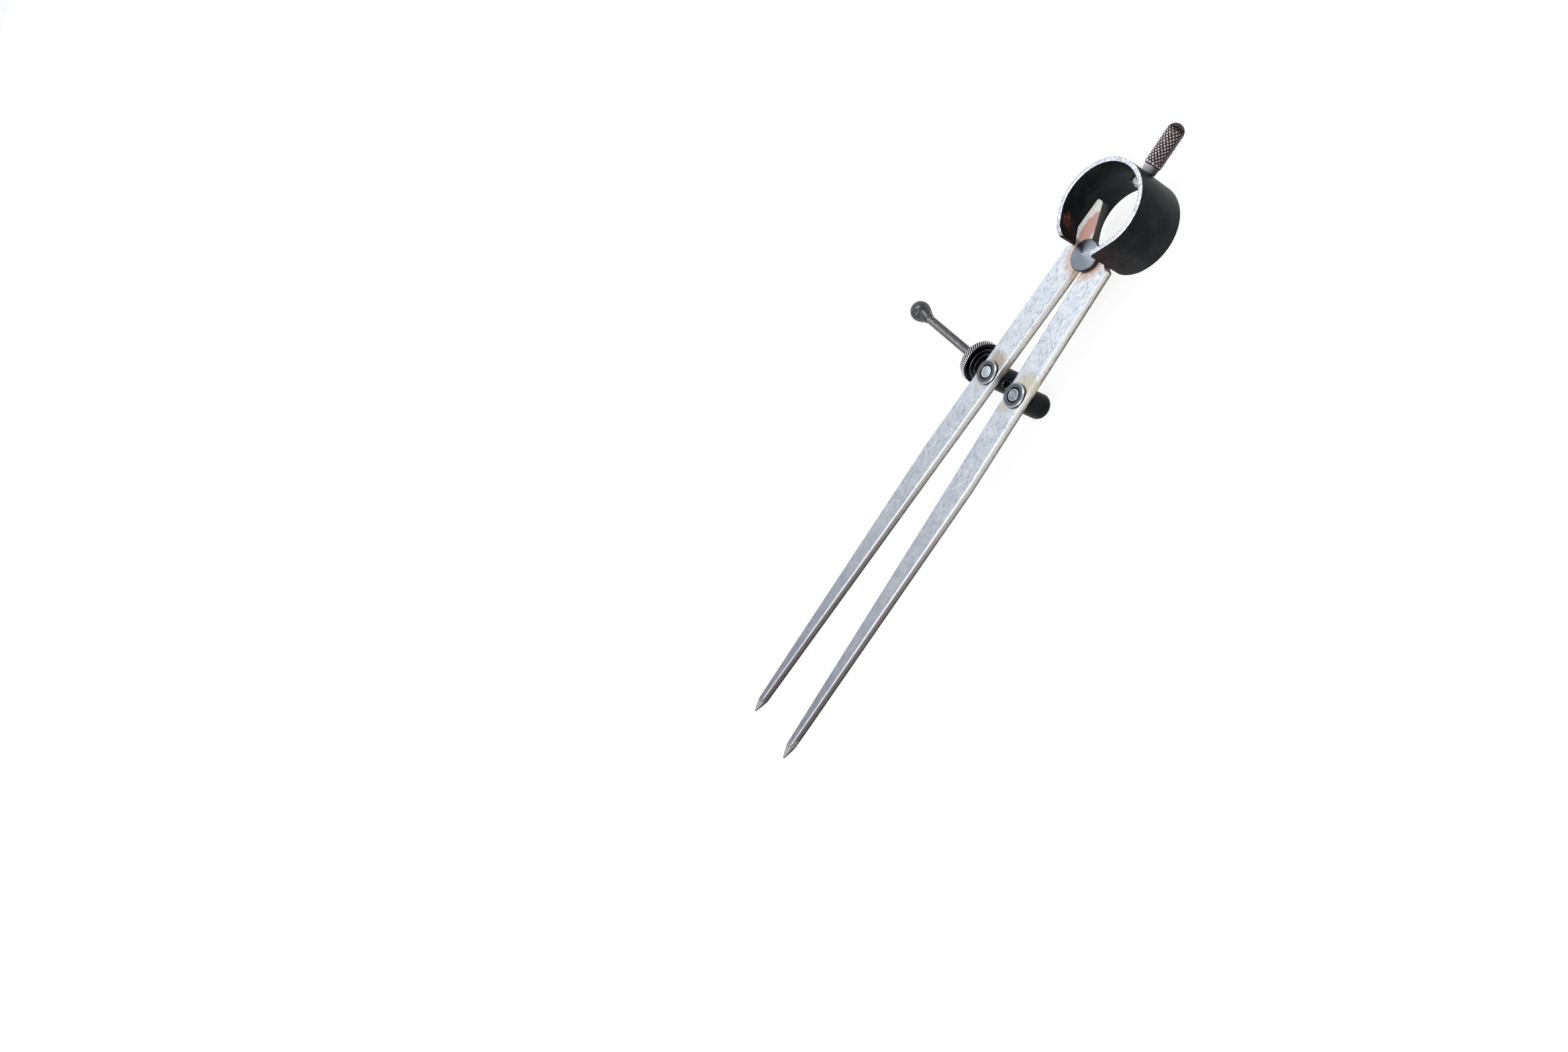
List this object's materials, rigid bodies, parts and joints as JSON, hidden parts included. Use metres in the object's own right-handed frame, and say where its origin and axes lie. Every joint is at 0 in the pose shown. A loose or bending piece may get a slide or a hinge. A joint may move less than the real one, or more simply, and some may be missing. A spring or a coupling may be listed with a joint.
{
  "type": "spring dividers",
  "caption": "Flat-leg spring dividers with a bow spring, a fulcrum stud, a knurled handle and a screw with a knurled nut that sets the opening.",
  "frame": {"origin": "centre of the fulcrum stud's flat rear face, on the axis that both legs turn about", "axes": "+Y runs along the tool from the needle points to the handle, +Z is the front of the tool, which lies on its back, and +X is its right, away from the adjusting nut"},
  "size_m": [0.0582, 0.1837, 0.0165],
  "materials": {
    "leg_steel": "satin, old plating with small pits and stains",
    "blued_spring": "black blued spring steel with bright ground edges",
    "knurled_handle": "dark diamond knurl with bright worn peaks",
    "turned_stud": "dark turned steel",
    "blued_post": "black blued steel",
    "washer_steel": "grey turned steel with a bright rim",
    "dark_steel": "dark oiled steel with worn edges",
    "nut_steel": "black steel with a bright worn knurl"
  },
  "bodies": {
    "frame_body": {"bow_spring": "blued_spring", "handle": "knurled_handle", "handle_nut": "dark_steel", "fulcrum_stud": "turned_stud"},
    "right_leg_body": {"right_leg": "leg_steel"},
    "left_leg_body": {"left_leg": "leg_steel"},
    "screw_body": {"right_post": "blued_post", "right_post_washer": "washer_steel", "adjusting_screw": "dark_steel", "screw_pin": "dark_steel", "screw_knob": "dark_steel"},
    "left_post_body": {"left_post": "blued_post", "left_post_washer": "washer_steel", "thrust_washer": "washer_steel"},
    "nut_body": {"adjusting_nut": "nut_steel"}
  },
  "joints": [
    {"name": "right_leg_swing", "type": "hinge", "parent": "frame_body", "child": "right_leg_body", "pos_m": [0, 0, 0.0023], "axis": [0, 0, 1], "range_deg": [-3.25, 20.05], "deforming": ["bow_spring"]},
    {"name": "left_leg_swing", "type": "hinge", "parent": "frame_body", "child": "left_leg_body", "pos_m": [0, 0, 0.0023], "axis": [0, 0, 1], "range_deg": [-20.05, 3.25]},
    {"name": "right_post_swivel", "type": "hinge", "parent": "right_leg_body", "child": "screw_body", "pos_m": [0.00591, -0.03504, 0.0023], "axis": [0, 0, 1], "range_deg": [-20.05, 3.25]},
    {"name": "left_post_swivel", "type": "hinge", "parent": "left_leg_body", "child": "left_post_body", "pos_m": [-0.00591, -0.03504, 0.0023], "axis": [0, 0, 1], "range_deg": [-3.25, 20.05]},
    {"name": "nut_spin", "type": "hinge", "parent": "left_post_body", "child": "nut_body", "pos_m": [-0.0142, -0.03504, -0.00094], "axis": [-1, 0, 0], "range_deg": [-2784, 17400]}
  ],
  "couplings": [
    {"joint": "right_leg_swing", "follows": "nut_spin", "ratio": 0.0011494},
    {"joint": "left_leg_swing", "follows": "nut_spin", "ratio": -0.0011494},
    {"joint": "right_post_swivel", "follows": "nut_spin", "ratio": -0.0011494},
    {"joint": "left_post_swivel", "follows": "nut_spin", "ratio": 0.0011494}
  ]
}
